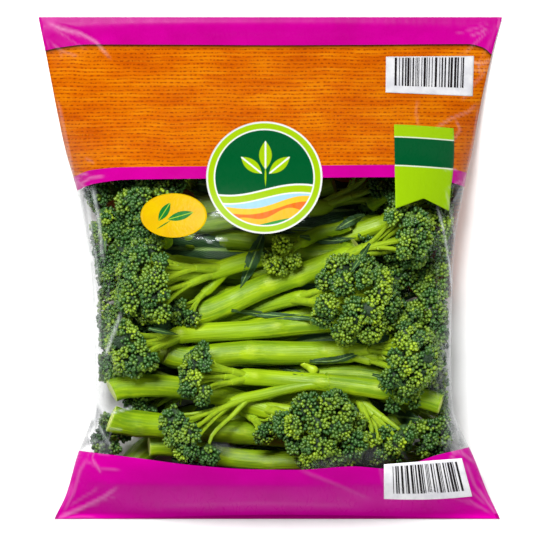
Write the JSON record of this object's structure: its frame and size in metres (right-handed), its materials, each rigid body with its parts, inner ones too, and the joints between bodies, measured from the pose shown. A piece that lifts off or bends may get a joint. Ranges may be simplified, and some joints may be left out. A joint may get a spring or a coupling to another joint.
{
  "type": "broccolini bunch in a clear bag",
  "caption": "Broccolini shoots laid head to tail in a sealed clear pillow bag with printed bands; lies on its back.",
  "frame": {"origin": "on the surface that the bag lies on, under the middle of the bag's bounding box", "axes": "+X across the bag and along the shoots, to the right as seen from the front; +Y up the bag, from the bottom seal to the top seal; +Z out of the front of the bag"},
  "size_m": [0.2782, 0.3012, 0.0867],
  "materials": {
    "shoot_green": "fresh green plant flesh, satin stems and matte buds",
    "clear_film": "clear glossy plastic film with printed bands"
  },
  "bodies": {
    "root": {"back_film": "clear_film", "front_film": "clear_film", "shoot_01": "shoot_green", "shoot_02": "shoot_green", "shoot_03": "shoot_green", "shoot_04": "shoot_green", "shoot_05": "shoot_green", "shoot_06": "shoot_green", "shoot_07": "shoot_green", "shoot_08": "shoot_green", "shoot_09": "shoot_green", "shoot_10": "shoot_green", "shoot_11": "shoot_green", "shoot_12": "shoot_green", "shoot_13": "shoot_green", "shoot_14": "shoot_green", "shoot_15": "shoot_green", "shoot_16": "shoot_green", "shoot_17": "shoot_green", "shoot_18": "shoot_green", "shoot_19": "shoot_green", "shoot_20": "shoot_green", "shoot_21": "shoot_green", "shoot_22": "shoot_green", "shoot_23": "shoot_green", "shoot_24": "shoot_green", "shoot_25": "shoot_green", "shoot_26": "shoot_green", "shoot_27": "shoot_green", "shoot_28": "shoot_green", "shoot_29": "shoot_green", "shoot_30": "shoot_green"}
  },
  "joints": []
}
